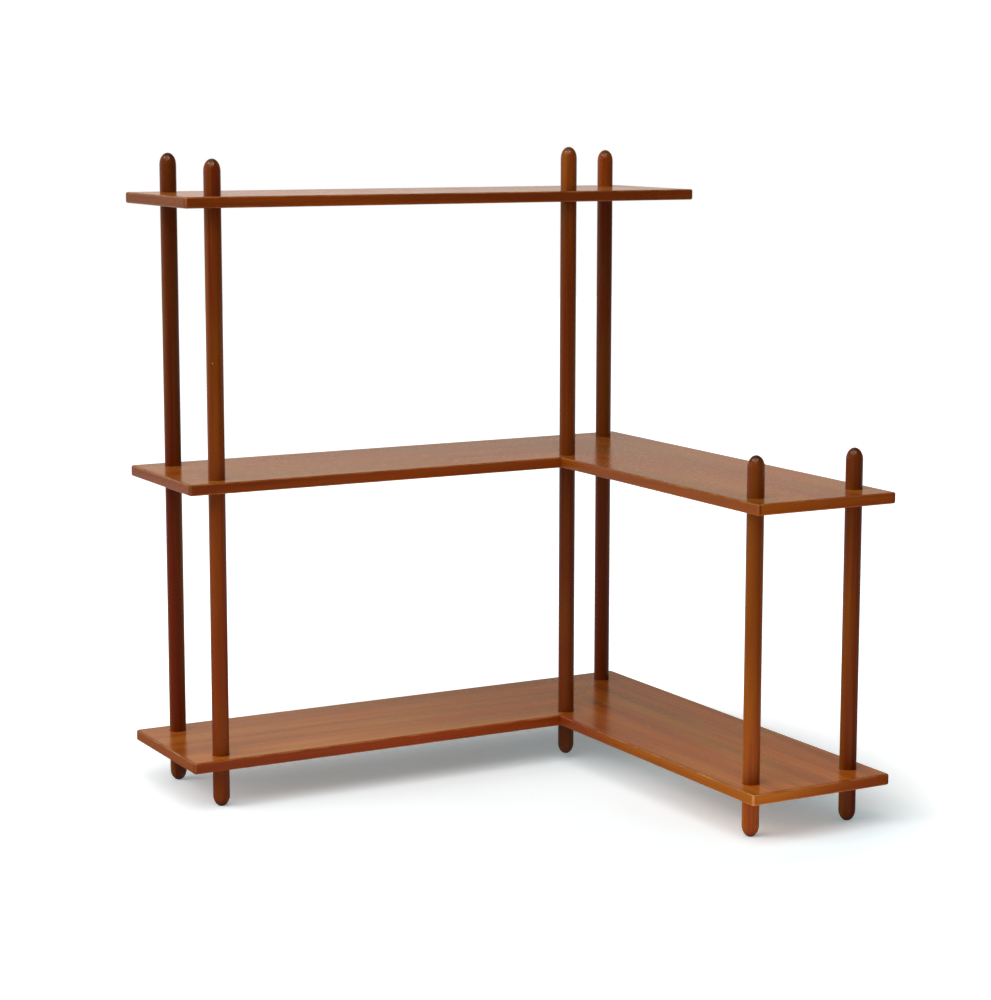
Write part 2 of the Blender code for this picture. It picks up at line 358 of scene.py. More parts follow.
    def _arris_wear(self) -> bpy.types.NodeTree:
        """Paler colour on rounded edges, in patches: partly worn, thinner varnish, partly a painted highlight
        along the arrises.

        Returns:
            The group.
        """
        inputs = {"Color": "Color", "Worn": "Color", "Vector": "Vector", "Amount": "Float"}
        graph, given, result = Graph.group("arris_wear", Tree.SHADER, inputs, {"Color": "Color"})
        normal = graph.node("ShaderNodeNewGeometry").outputs["Normal"]
        parts = graph.parts(graph.vector("ABSOLUTE", normal))
        largest = graph.math("MAXIMUM", graph.math("MAXIMUM", parts[0], parts[1]), parts[2])
        patches = graph.remap(graph.noise(given["Vector"], self.ARRIS_PATCHES), self.ARRIS_PATCH_DEPTH)
        mask = graph.math("MULTIPLY", graph.remap(largest, self.ARRIS_TURN), patches)
        mask = graph.math("MULTIPLY", mask, given["Amount"])
        graph.put(result["Color"], graph.mix(mask, given["Color"], given["Worn"]))
        return graph.tree

    def _varnish(self) -> bpy.types.NodeTree:
        """Uneven gloss of a brushed satin varnish, with a faint ripple.

        Returns:
            The group.
        """
        inputs = {"Vector": "Vector", **dict.fromkeys(("Base", "Spread", "Height"), "Float")}
        outputs = {"Roughness": "Float", "Height": "Float"}
        graph, given, result = Graph.group("satin_varnish", Tree.SHADER, inputs, outputs)
        scuff = graph.math("MULTIPLY", graph.swing(given["Vector"], self.SCUFF), self.SCUFF_SHARE)
        spread = graph.math("ADD", graph.swing(given["Vector"], self.SMUDGE), scuff)
        rough = graph.math("MULTIPLY_ADD", spread, given["Spread"], given["Base"])
        rough = graph.math("MULTIPLY_ADD", given["Height"], self.HOLLOW_GLOSS, rough)
        ripple = graph.noise(given["Vector"], self.RIPPLE)
        graph.put(result["Roughness"], rough)
        graph.put(result["Height"], graph.math("MULTIPLY_ADD", ripple, self.RIPPLE_RELIEF, given["Height"]))
        return graph.tree


def new_material(name: str) -> tuple[bpy.types.Material, Graph, bpy.types.NodeSocket]:
    """Start a material.

    Args:
        name: Its name.

    Returns:
        The material, its graph, and the place on the object that a pattern reads.
    """
    made = bpy.data.materials.new(name)
    made.use_nodes = True
    graph = Graph(made.node_tree)
    return made, graph, graph.node("ShaderNodeTexCoord").outputs["Object"]


@dataclass(frozen=True)
class Nick:
    """A small chip that shows bare wood."""

    place: Point
    radius: float
    colour: Colour = (0.36, 0.13, 0.04)


@dataclass(frozen=True)
class Drift:
    """How a stick's colour changes between two places along one of its axes."""

    axis: Grain
    start: float
    stop: float
    first: Colour
    last: Colour = WHITE


@dataclass(frozen=True)
class WoodFinish:
    """Varnished wood with its own colours and figure."""

    name: str
    slot: str
    light: Colour
    dark: Colour
    tint: Colour
    # Colour of the rounded edges: partly worn varnish, partly a painted highlight.
    worn_and_lit: Colour
    band: float = 1.4
    ring: float = 1.2
    streak: float = 0.6
    pore: float = 0.45
    patch: float = 0.5
    end_depth: float = 0.6
    # How much the rounded edges are paled: partly wear, partly a painted highlight.
    wear_and_highlight: float = 0.35
    gloss: float = 0.30
    gloss_spread: float = 0.10
    relief: float = 0.00012
    relief_strength: float = 0.35
    specular: float = 0.30
    drifts: tuple[Drift, ...] = ()

    def toned(self, tone: Colour) -> WoodFinish:
        """The same wood with its colours scaled: a stick's own tone, and light and shade painted on it.

        Args:
            tone: What its colours are multiplied by.

        Returns:
            The changed finish.
        """
        changed = {}
        for name in ("light", "dark", "tint"):
            changed[name] = tuple(part * share for part, share in zip(getattr(self, name), tone))
        return replace(self, **changed)

    def material(
        self, label: str, groups: ShaderGroups, grain: Grain, offset: Point, nick: Nick | None = None
    ) -> bpy.types.Material:
        """Make the material for one piece or one set of like pieces.

        Args:
            label: What it dresses.
            groups: The shared shader groups.
            grain: The axis that the grain runs along.
            offset: Where in the wood's pattern the piece was cut.
            nick: A chip in it, if it has one.

        Returns:
            The material.
        """
        made, graph, place = new_material(f"{self.name}_{label}")
        turn = Vector(grain.value).rotation_difference(Vector(Grain.X.value)).to_euler()
        mapping = graph.node("ShaderNodeMapping", {"Vector": place, "Location": offset, "Rotation": turn})
        along = mapping.outputs[0]
        inputs = {"Vector": along}
        for name in ("light", "dark", "tint", "band", "ring", "streak", "pore", "patch"):
            inputs[name.capitalize()] = getattr(self, name)
        figure = graph.use(groups.figure, inputs)
        inputs = {"Color": figure["Color"], "Axis": grain.value, "Vector": along, "Depth": self.end_depth}
        colour = graph.use(groups.end_grain, inputs)["Color"]
        # Paler rounded edges: partly wear, partly a painted highlight along the arrises.
        inputs = {"Color": colour, "Worn": self.worn_and_lit, "Vector": along, "Amount": self.wear_and_highlight}
        colour = graph.use(groups.arris_wear, inputs)["Color"]
        # Painted light and shade: the drifts make the piece lighter or darker along one axis where light
        # falls on it or boards shade it.
        for drift in self.drifts:
            share = graph.remap(graph.parts(place)[drift.axis.name], Ramp(drift.start, drift.stop))
            colour = graph.mix(1.0, colour, graph.mix(share, drift.first, drift.last), "MULTIPLY")
        if nick:
            chip = graph.spot(place, Spot(nick.place, Ramp(nick.radius, nick.radius / 2)))
            colour = graph.mix(chip, colour, nick.colour)
        inputs = {"Vector": along, "Base": self.gloss, "Spread": self.gloss_spread}
        varnish = graph.use(groups.varnish, {**inputs, "Height": figure["Height"]})
        inputs = {"Height": varnish["Height"], "Distance": self.relief, "Strength": self.relief_strength}
        relief = graph.node("ShaderNodeBump", inputs)
        shader = made.node_tree.nodes["Principled BSDF"]
        graph.put(shader.inputs["Base Color"], colour)
        graph.put(shader.inputs["Roughness"], varnish["Roughness"])
        graph.put(shader.inputs["Normal"], relief.outputs[0])
        shader.inputs["Specular IOR Level"].default_value = self.specular
        return made


@dataclass(frozen=True)
class SteelFinish:
    """Plain steel of a wood screw, slightly dulled."""

    name: str = "dulled_steel"
    slot: str = "steel"
    light: Colour = (0.56, 0.55, 0.53)
    dark: Colour = (0.33, 0.31, 0.29)
    gloss: float = 0.30
    gloss_spread: float = 0.20
    stain: Noise = Noise((420.0, 420.0, 420.0), detail=3.0)
    scratch: Noise = Noise((2500.0, 2500.0, 300.0), detail=1.0)

    def material(self) -> bpy.types.Material:
        """Make the material.

        Returns:
            The material.
        """
        made, graph, place = new_material(self.name)
        colour = graph.mix(graph.noise(place, self.stain), self.dark, self.light)
        least = self.gloss - self.gloss_spread / 2
        rough = graph.math("MULTIPLY_ADD", graph.noise(place, self.scratch), self.gloss_spread, least)
        shader = made.node_tree.nodes["Principled BSDF"]
        graph.put(shader.inputs["Base Color"], colour)
        graph.put(shader.inputs["Roughness"], rough)
        shader.inputs["Metallic"].default_value = 1.0
        return made


VENEER = WoodFinish(
    name="teak_veneer",
    slot="veneer",
    light=(0.430, 0.108, 0.011),
    dark=(0.270, 0.059, 0.0065),
    tint=(0.350, 0.115, 0.016),
    worn_and_lit=(0.40, 0.13, 0.025),
    band=2.2,
    ring=1.5,
    streak=0.7,
    pore=0.35,
    patch=0.9,
    relief_strength=0.15,
    gloss=0.20,
    gloss_spread=0.06,
    specular=0.5,
)
LIPPING = WoodFinish(
    name="teak_lipping",
    slot="lipping",
    light=(0.255, 0.045, 0.002),
    dark=(0.135, 0.018, 0.001),
    tint=(0.205, 0.029, 0.001),
    worn_and_lit=(0.42, 0.17, 0.05),
    band=2.4,
    pore=0.30,
    patch=0.7,
    end_depth=0.5,
    wear_and_highlight=0.6,
    relief_strength=0.15,
    gloss=0.22,
    gloss_spread=0.06,
    specular=0.25,
)
POST_WOOD = WoodFinish(
    name="turned_teak",
    slot="post",
    light=(0.195, 0.048, 0.001),
    dark=(0.115, 0.008, 0.001),
    tint=(0.130, 0.014, 0.001),
    worn_and_lit=(0.24, 0.06, 0.010),
    band=2.8,
    ring=1.5,
    streak=0.3,
    pore=0.30,
    wear_and_highlight=0.0,
    end_depth=1.0,
    relief_strength=0.20,
    gloss=0.19,
    gloss_spread=0.05,
    specular=0.32,
)
BEECH = WoodFinish(
    name="beech",
    slot="beech",
    light=(0.62, 0.44, 0.27),
    dark=(0.50, 0.33, 0.19),
    tint=(0.56, 0.38, 0.22),
    worn_and_lit=(0.60, 0.42, 0.26),
    pore=0.1,
    wear_and_highlight=0.0,
    gloss=0.55,
    specular=0.5,
)
# Each stick's colour scale: partly its own tone, partly painted light and shade. The right run's near end and
# the right inner post are made lighter where light from the floor falls on them, the corner posts darker
# where the boards shade them, and other faces lighter or darker to match how light falls on them.
TONES_AND_PAINTED_LIGHT: dict[str, Colour] = {
    "post_left_rear": (0.97, 1.42, 1.00),
    "post_corner_inner": (0.76, 0.68, 0.75),
    "post_corner_outer": (0.76, 0.70, 0.75),
    "post_right_inner": (1.66, 2.95, 1.00),
    "post_right_outer": (0.86, 0.94, 0.90),
    "middle_right_end_lipping": (1.38, 1.80, 1.00),
    "bottom_right_end_lipping": (1.22, 1.90, 1.00),
    "bottom_right_inner_lipping": (1.42, 2.65, 1.80),
    "bottom_left_front_lipping": (1.02, 0.88, 1.00),
    "bottom_left_end_lipping": (1.14, 1.62, 1.00),
    "middle_left_front_lipping": (0.86, 0.90, 1.00),
    "middle_left_end_lipping": (0.82, 1.00, 1.00),
    "middle_right_inner_lipping": (1.32, 2.05, 1.00),
    "top_front_lipping": (1.00, 1.16, 1.00),
    "top_left_lipping": (0.63, 0.82, 1.00),
}
# Painted light and shade, as colour that changes along a piece: posts darker just under the boards that shade
# them, tips above the top board lighter than the shaded post below, the right inner post, the right run's
# near end and the bottom right board lighter where light from the floor falls on them, and the bottom left
# board darker towards the corner in the shade of the board above.
PAINTED_LIGHT_DRIFTS: dict[str, tuple[Drift, ...]] = {
    "post_left_rear": (Drift(Grain.Z, 0.95, 0.10, (0.63, 0.44, 0.70)),),
    "post_right_inner": (Drift(Grain.Z, 0.32, 0.05, (0.56, 0.335, 1.00)),),
    "post_left_front": (Drift(Grain.Z, 0.95, 0.10, (1.00, 1.45, 1.00), (0.93, 0.72, 1.00)),),
    "post_corner_inner": (
        Drift(Grain.Z, 0.95, 0.10, (1.12, 1.30, 1.00), (0.92, 0.88, 1.00)),
        Drift(Grain.Z, 0.942, 0.924, (1.38, 1.45, 1.00)),
        Drift(Grain.Z, 0.512, 0.492, WHITE, (0.70, 0.56, 1.00)),
        Drift(Grain.Z, 0.36, 0.16, WHITE, (1.42, 1.90, 1.00)),
    ),
    "post_corner_outer": (Drift(Grain.Z, 0.942, 0.924, (1.75, 2.10, 1.00)),),
    "bottom_left_panel": (Drift(Grain.X, -0.20, 0.20, (1.07, 1.10, 1.10), (0.90, 0.90, 0.90)),),
    "bottom_right_panel": (Drift(Grain.Y, 0.15, -0.35, WHITE, (1.18, 1.18, 1.08)),),
    "bottom_right_inner_lipping": (Drift(Grain.Y, 0.15, -0.15, (0.64, 0.31, 1.00)),),
    "middle_right_inner_lipping": (Drift(Grain.Y, 0.15, -0.35, (0.75, 0.67, 1.00)),),
    "bottom_right_end_lipping": (Drift(Grain.X, 0.40, 0.22, (0.86, 0.66, 1.00)),),
    "middle_right_end_lipping": (Drift(Grain.X, 0.40, 0.22, (0.82, 0.72, 1.00)),),
}
# The near corner's lippings: their edges paler and their end grain not darkened, partly wear and partly
# painted light where light from the floor falls on the corner.
RUBBED_AND_LIT = ("bottom_right_inner_lipping", "bottom_right_end_lipping")


class Meshes:
    """Small mesh jobs that several sub-assemblies share."""

    SHARP_DEGREES = 35.0
    FLATS_WEIGHT = 80
    MERGE = 0.000001

    @staticmethod
    def link(name: str, mesh: bpy.types.Mesh) -> bpy.types.Object:
        """Make an object for a mesh and link it to the scene.

        Args:
            name: The object's name.
            mesh: Its mesh.

        Returns:
            The object.
        """
        made = bpy.data.objects.new(name, mesh)
        bpy.context.scene.collection.objects.link(made)
        return made

    @staticmethod
    def block(low: Vector, high: Vector) -> bmesh.types.BMesh:
        """Start a shape as a plain block.

        Args:
            low: Its lowest corner.
            high: Its highest corner.

        Returns:
            The block, to be shaped further.
        """
        shape = bmesh.new()
        bmesh.ops.create_cube(shape, size=1.0)
        bmesh.ops.scale(shape, vec=high - low, verts=shape.verts)
        bmesh.ops.translate(shape, vec=(low + high) / 2, verts=shape.verts)
        return shape

    @staticmethod
    def shaped(name: str, shape: bmesh.types.BMesh) -> bpy.types.Object:
        """Turn a shape into an object.

        Args:
            name: The object's name.
            shape: The shape, which is freed.

        Returns:
            The object, linked to the scene.
        """
        mesh = bpy.data.meshes.new(name)
        shape.to_mesh(mesh)
        shape.free()
        return Meshes.link(name, mesh)

    @staticmethod
    def bake(piece: bpy.types.Object) -> None:
        """Put the result of a piece's modifiers and its place into its mesh, and remove the modifiers.

        Args:
            piece: The piece.
        """
        graph = bpy.context.evaluated_depsgraph_get()
        mesh = bpy.data.meshes.new_from_object(piece.evaluated_get(graph))
        mesh.transform(piece.matrix_world)
        piece.modifiers.clear()
        piece.matrix_world = Matrix.Identity(4)
        piece.data = mesh
        mesh.name = piece.name

    @staticmethod
    def smooth(piece: bpy.types.Object) -> None:
        """Shade a piece smooth up to an angle, with its large flats kept flat.

        Args:
            piece: The piece.
        """
        piece.data.shade_smooth()
        piece.data.set_sharp_from_angle(angle=math.radians(Meshes.SHARP_DEGREES))
        weighted = piece.modifiers.new("Flats", "WEIGHTED_NORMAL")
        weighted.keep_sharp = True
        weighted.weight = Meshes.FLATS_WEIGHT
        Meshes.bake(piece)

    @staticmethod
    def cut(piece: bpy.types.Object, cutters: Sequence[bpy.types.Object]) -> None:
        """Cut a piece with other objects.

        Args:
            piece: What is cut.
            cutters: What cuts it, left as they are.
        """
        for cutter in cutters:
            boolean = piece.modifiers.new("Cut", "BOOLEAN")
            boolean.operation = "DIFFERENCE"
            boolean.solver = "EXACT"
            boolean.object = cutter
        bpy.context.view_layer.update()
        Meshes.bake(piece)

    @staticmethod
    def grow(piece: bpy.types.Object, tree: bpy.types.NodeTree, values: dict[str, Any]) -> None:
        """Replace a piece's mesh with what a geometry tree makes of it.

        Args:
            piece: The piece.
            tree: The geometry tree.
            values: The tree's inputs, by their names.
        """
        maker = piece.modifiers.new("Maker", "NODES")
        maker.node_group = tree
        for item in tree.interface.items_tree:
            if item.in_out == "INPUT" and item.name in values:
                maker[item.identifier] = values[item.name]
        Meshes.bake(piece)

    @staticmethod
    def turned(name: str, profile: Sequence[tuple[float, float]], sides: int) -> bpy.types.Object:
        """Turn (radius, height) points, listed from the top down, once round +Z.

        Args:
            name: The new object's name.
            profile: The outline's points.
            sides: How many flats the turned shape has.

        Returns:
            A closed turned object.
        """
        outline = bpy.data.meshes.new(name)
        points = [(radius, 0.0, height) for radius, height in profile]
        outline.from_pydata(points, [(i, i + 1) for i in range(len(points) - 1)], [])
        made = Meshes.link(name, outline)
        turn = made.modifiers.new("Turn", "SCREW")
        turn.steps = sides
        turn.render_steps = sides
        turn.use_merge_vertices = True
        turn.merge_threshold = Meshes.MERGE
        Meshes.bake(made)
        return made

    @staticmethod
    def discard(pieces: Sequence[bpy.types.Object]) -> None:
        """Remove helper objects."""
        for piece in pieces:
            bpy.data.objects.remove(piece)


@dataclass
class Plan:
    """The places that the frame's nodes give."""

    low: Vector
    high: Vector
    front: float
    inner: float
    lipping: float
    board: float = 0.0
    levels: dict[str, float] = field(default_factory=dict)
    posts: dict[str, tuple[Vector, Vector]] = field(default_factory=dict)

    POST_NAMES = ("left_rear", "left_front", "corner_inner", "corner_outer", "right_inner", "right_outer")
    LEVEL_NODES = {"top": "top_panel", "middle": "middle_left_panel", "bottom": "bottom_left_panel"}

    @classmethod
    def read(cls) -> Plan:
        """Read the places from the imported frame.

        Returns:
            The plan.
        """
        left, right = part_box("top_left_lipping")[0].x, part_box("top_right_lipping")[1].x
        near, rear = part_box("middle_right_end_lipping")[0].y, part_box("top_rear_lipping")[1].y
        edge_low, edge_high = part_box("top_front_lipping")
        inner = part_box("middle_right_inner_lipping")[0].x
        thickness = edge_high.y - edge_low.y
        plan = cls(Vector((left, near, 0.0)), Vector((right, rear, 0.0)), edge_low.y, inner, thickness)
        for level, node in cls.LEVEL_NODES.items():
            under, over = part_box(node)
            plan.levels[level] = over.z
            plan.board = over.z - under.z
        for name in cls.POST_NAMES:
            plan.posts[name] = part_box("post_" + name)
        return plan

    @property
    def post_radius(self) -> float:
        """Half the width of a post."""
        low, high = self.posts["left_rear"]
        return (high.x - low.x) / 2

    def post_axis(self, name: str) -> Vector:
        """The point on the floor under a post's axis."""
        low, high = self.posts[name]
        return Vector(((low.x + high.x) / 2, (low.y + high.y) / 2, 0.0))


@dataclass
class PostSet:
    """The six turned posts, made by one geometry tree."""

    plan: Plan
    groups: ShaderGroups
    tip: float = 0.018
    foot_flat: float = 0.008
    tip_rings: int = 18
    sides: int = 72
    merge: float = 0.000002
    cut_from: Point = (0.61, 0.37, 0.23)
    finish: WoodFinish = POST_WOOD
    nick: Nick = Nick((-0.3974, 0.1807, 0.6902), 0.0016)

    def tree(self) -> bpy.types.NodeTree:
        """A rod with a rounded tip and a rounded foot that ends in a small flat.

        Returns:
            The geometry tree.
        """
        kinds = {
            "Place": "Vector",
            **dict.fromkeys(("Length", "Radius", "Tip", "Flat"), "Float"),
            **dict.fromkeys(("Rings", "Sides"), "Int"),
            "Finish": "Material",
        }
        outputs = {"Geometry": "Geometry"}
        graph, given, result = Graph.group("turned_post", Tree.GEOMETRY, kinds, outputs)
        quarter = math.pi / 2
        count = graph.math("MULTIPLY_ADD", given["Rings"], 2.0, 2.0)
        line = graph.node("GeometryNodeMeshLine", {"Count": count})
        index = graph.node("GeometryNodeInputIndex").outputs[0]
        flat_angle = graph.math("ARCSINE", graph.math("DIVIDE", given["Flat"], given["Radius"]))
        foot_share = graph.math("DIVIDE", index, given["Rings"])
        foot_sweep = graph.math("SUBTRACT", quarter, flat_angle)
        foot_angle = graph.math("MULTIPLY_ADD", foot_share, foot_sweep, flat_angle)
        foot_rise = graph.math("SUBTRACT", graph.math("COSINE", flat_angle), graph.math("COSINE", foot_angle))
        foot_height = graph.math("MULTIPLY", foot_rise, given["Tip"])
        left_over = graph.math("SUBTRACT", graph.math("SUBTRACT", count, 1.0), index)
        tip_angle = graph.math("MULTIPLY", graph.math("DIVIDE", left_over, given["Rings"]), quarter)
        tip_drop = graph.math("SUBTRACT", 1.0, graph.math("COSINE", tip_angle))
        tip_height = graph.math("SUBTRACT", given["Length"], graph.math("MULTIPLY", tip_drop, given["Tip"]))
        in_tip = graph.math("GREATER_THAN", index, given["Rings"])
        angle = self._choose(graph, in_tip, foot_angle, tip_angle)
        height = self._choose(graph, in_tip, foot_height, tip_height)
        radius = graph.math("MULTIPLY", graph.math("SINE", angle), given["Radius"])
        place = graph.node("ShaderNodeCombineXYZ", {"Z": height}).outputs[0]
        place = graph.vector("ADD", place, given["Place"])
        placed = graph.node("GeometryNodeSetPosition", {"Geometry": line.outputs[0], "Position": place})
        kept = graph.node(
            "GeometryNodeStoreNamedAttribute",
            {"Geometry": placed.outputs[0], "Name": "ring_radius", "Value": radius},
            data_type="FLOAT",
            domain="POINT",
        )
        curve = graph.node("GeometryNodeMeshToCurve", {0: kept.outputs[0]})
        stored = graph.node("GeometryNodeInputNamedAttribute", {"Name": "ring_radius"}, data_type="FLOAT")
        circle = graph.node("GeometryNodeCurvePrimitiveCircle", {"Resolution": given["Sides"], "Radius": 1.0})
        inputs = {
            "Curve": curve.outputs[0],
            "Profile Curve": circle.outputs[0],
            "Scale": stored.outputs[0],
            "Fill Caps": True,
        }
        skin = graph.node("GeometryNodeCurveToMesh", inputs)
        inputs = {"Geometry": skin.outputs[0], "Distance": self.merge}
        closed = graph.node("GeometryNodeMergeByDistance", inputs)
        return graph.dressed(closed.outputs[0], given["Finish"], result)

    @staticmethod
    def _choose(graph: Graph, when: Any, below: Any, above: Any) -> bpy.types.NodeSocket:
        """The first value, or the second one where the condition holds."""
        inputs = {"Switch": when, "False": below, "True": above}
        return graph.node("GeometryNodeSwitch", inputs, input_type="FLOAT").outputs[0]

    def build(self, cutters: Sequence[bpy.types.Object]) -> list[bpy.types.Object]:
        """Make the posts.

        Args:
            cutters: What bores the screws' pilot holes.

        Returns:
            One object for each post.
        """
        tree = self.tree()
        pieces = []
        for index, name in enumerate(Plan.POST_NAMES):
            node = "post_" + name
            low, high = self.plan.posts[name]
            nick = self.nick if name == "left_front" else None
            offset = tuple(part * index for part in self.cut_from)
            # The post's tone and drifts: partly its own tone, partly painted light and shade.
            wood = replace(self.finish, drifts=PAINTED_LIGHT_DRIFTS.get(node, ())).toned(TONES_AND_PAINTED_LIGHT.get(node, WHITE))
            material = wood.material(name, self.groups, Grain.Z, offset, nick)
            piece = Meshes.link("turned_" + node, bpy.data.meshes.new("turned_" + node))
            values = {
                "Place": self.plan.post_axis(name) + Vector((0.0, 0.0, low.z)),
                "Length": high.z - low.z,
                "Radius": self.plan.post_radius,
                "Tip": self.tip,
                "Flat": self.foot_flat / 2,
                "Rings": self.tip_rings,
                "Sides": self.sides,
                "Finish": material,
            }
            Meshes.grow(piece, tree, values)
            Meshes.cut(piece, cutters)
            Meshes.smooth(piece)
            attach(piece, BODY)
            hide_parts(node)
            log.info("%s: %d faces", piece.name, len(piece.data.polygons))
            pieces.append(piece)
        return pieces


@dataclass(frozen=True)
class ScrewSeat:
    """Where one screw goes: its node, the middle of its head, and the way that it is driven."""

    node: str
    head: Vector
    direction: Vector


@dataclass
class ScrewSet:
    """The slanted screws that fix the boards to the posts."""

    plan: Plan
    shank: float = 0.0035
    head: float = 0.007
    head_rim: float = 0.0004
    head_height: float = 0.0022
    neck_share: float = 0.85
    point: float = 0.005
    slope: float = math.radians(35.0)
    setback: float = 0.009
    bite: float = 0.010
    cover: float = 0.0004
    gap: float = 0.0003
    thread_pitch: float = 0.0014
    thread_depth: float = 0.0004
    root_drop: float = 0.3
    slot: tuple[float, float, float] = (0.0038, 0.0009, 0.0014)
    sides: int = 24
    sharp_degrees: float = 30.0
    pocket_depth: float = 0.021
    pocket_sides: int = 32
    most_turn: float = math.pi / 2
    seed: int = 7
    finish: SteelFinish = SteelFinish()

    @property
    def length(self) -> float:
        """From the back of a screw's head to its point."""
        return self.setback / math.cos(self.slope) + self.bite

    def seats(self) -> Iterator[ScrewSeat]:
        """Find where the screws go, board by board.

        Yields:
            Each screw's seat.
        """
        inboard = Vector((1.0, 0.0, 0.0))
        rearward = Vector((0.0, 1.0, 0.0))
        across = Vector((1.0, -1.0, 0.0)).normalized()
        ends = {"left_rear": inboard, "left_front": inboard, "right_inner": rearward, "right_outer": rearward}
        left, right = ("left_rear", "left_front"), ("right_inner", "right_outer")
        corner = ("corner_inner", "corner_outer")
        boards = [("top", "top", left, -inboard)]
        for level in ("middle", "bottom"):
            boards.append((level + "_left", level, left, -across))
            boards.append((level + "_right", level, right, across))
        for board, level, free, from_corner in boards:
            for post in free + corner:
                outward = ends.get(post, from_corner)
                height = self.plan.levels[level] - self.plan.board + self.cover
                height += self.head / 2 * math.cos(self.slope)
                head = self.plan.post_axis(post) + outward * (self.plan.post_radius + self.setback)
                head.z = height
                direction = -outward * math.cos(self.slope)
                direction.z = math.sin(self.slope)
                yield ScrewSeat(f"{board}_{post}_screw", head, direction)

    def pockets(self) -> list[bpy.types.Object]:
        """Make a cutter for each screw's hole and for the pocket behind its head.

        Returns:
            The cutters.
        """
        shank, head = self.shank / 2 + self.gap, self.head / 2 + self.gap
        profile = [
            (0.0, self.length + 2 * self.gap),
            (shank, self.length - self.point),
            (shank, self.head_height + self.gap),
            (head, self.head_rim + self.gap),
            (head, -self.pocket_depth),
            (0.0, -self.pocket_depth),
        ]
        master = Meshes.turned("pocket", profile, self.pocket_sides)
        pockets = []
        for seat in self.seats():
            pocket = Meshes.link("pocket", master.data)
            turn = seat.direction.to_track_quat("Z", "Y").to_matrix().to_4x4()
            pocket.matrix_world = Matrix.Translation(seat.head) @ turn
            pockets.append(pocket)
        Meshes.discard([master])
        return pockets

    def master(self) -> bpy.types.Object:
        """Make one screw about its own axis, head down, with a thread and a cross recess.

        Returns:
            The screw.
        """
        shank, head = self.shank / 2, self.head / 2
        profile = [(0.0, self.length)]
        turns = int((self.length - self.head_height * 2) / self.thread_pitch)
        for turn in range(turns):
            crest = self.length - (turn + 0.5) * self.thread_pitch
            taper = min(1.0, (self.length - crest) / self.point)
            root = crest + self.thread_pitch * self.root_drop
            profile.append(((shank - self.thread_depth) * taper, root))
            profile.append((shank * taper, crest))
        neck = shank * self.neck_share
        profile += [(neck, self.length - turns * self.thread_pitch), (neck, self.head_height)]
        profile += [(head, self.head_rim), (head, 0.0), (0.0, 0.0)]
        made = Meshes.turned("screw_master", profile, self.sides)
        length, width, depth = self.slot
        bars = []
        for size in ((length, width), (width, length)):
            half = Vector((*size, 2 * depth)) / 2
            bars.append(Meshes.shaped("slot", Meshes.block(-half, half)))
        Meshes.cut(made, bars)
        Meshes.discard(bars)
        made.data.shade_smooth()
        made.data.set_sharp_from_angle(angle=math.radians(self.sharp_degrees))
        return made

    def tree(self) -> bpy.types.NodeTree:
        """Screws set on points, each along its point's direction and turned by chance about itself.

        Returns:
            The geometry tree.
        """
        kinds = {
            "Geometry": "Geometry",
            "Screw": "Object",
            "Turn": "Float",
            "Seed": "Int",
            "Finish": "Material",
        }
        outputs = {"Geometry": "Geometry"}
        graph, given, result = Graph.group("screws_on_seats", Tree.GEOMETRY, kinds, outputs)
        way = graph.node("GeometryNodeInputNamedAttribute", {"Name": "direction"}, data_type="FLOAT_VECTOR")
        aligned = graph.node("FunctionNodeAlignRotationToVector", {"Vector": way.outputs[0]}, axis="Z")
        chance = graph.node("FunctionNodeRandomValue", {"Seed": given["Seed"]}, data_type="FLOAT")
        least, most = [socket for socket in chance.inputs if socket.type == "VALUE" and socket.enabled][:2]
        graph.put(least, 0.0)
        graph.put(most, given["Turn"])
        spun = next(socket for socket in chance.outputs if socket.type == "VALUE" and socket.enabled)
        about = graph.node("ShaderNodeCombineXYZ", {"Z": spun}).outputs[0]
        spin = graph.node("FunctionNodeEulerToRotation", {0: about}).outputs[0]
        turns = {0: aligned.outputs[0], 1: spin}
        turned = graph.node("FunctionNodeRotateRotation", turns, rotation_space="LOCAL")
        screw = graph.node("GeometryNodeObjectInfo", {"Object": given["Screw"], "As Instance": True})
        points = graph.node("GeometryNodeMeshToPoints", {0: given["Geometry"]})
        inputs = {
            "Points": points.outputs[0],
            "Instance": screw.outputs["Geometry"],
            "Rotation": turned.outputs[0],
        }
        placed = graph.node("GeometryNodeInstanceOnPoints", inputs)
        return graph.dressed(placed.outputs[0], given["Finish"], result)

    def build(self) -> bpy.types.Object:
        """Make all the screws as one piece.

        Returns:
            The screws.
        """
        seats = list(self.seats())
        mesh = bpy.data.meshes.new("board_screws")
        mesh.from_pydata([seat.head for seat in seats], [], [])
        ways = mesh.attributes.new("direction", "FLOAT_VECTOR", "POINT")
        ways.data.foreach_set("vector", [part for seat in seats for part in seat.direction])
        piece = Meshes.link("board_screws", mesh)
        master = self.master()
        steel = self.finish.material()
        values = {"Screw": master, "Turn": self.most_turn, "Seed": self.seed, "Finish": steel}
        Meshes.grow(piece, self.tree(), values)
        Meshes.discard([master])
        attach(piece, BODY)
        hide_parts(*(seat.node for seat in seats))
        log.info("%s: %d faces", piece.name, len(piece.data.polygons))
        return piece


@dataclass(frozen=True)
class BoardSpec:
    """One board: its plan rectangle, its level and how its edges are named."""

    name: str
    level: str
    low: tuple[float, float]
    high: tuple[float, float]
    along: int
    long_edges: tuple[str, str]
    ends: tuple[str, str | None]
    mitre_side: int
    seed: float


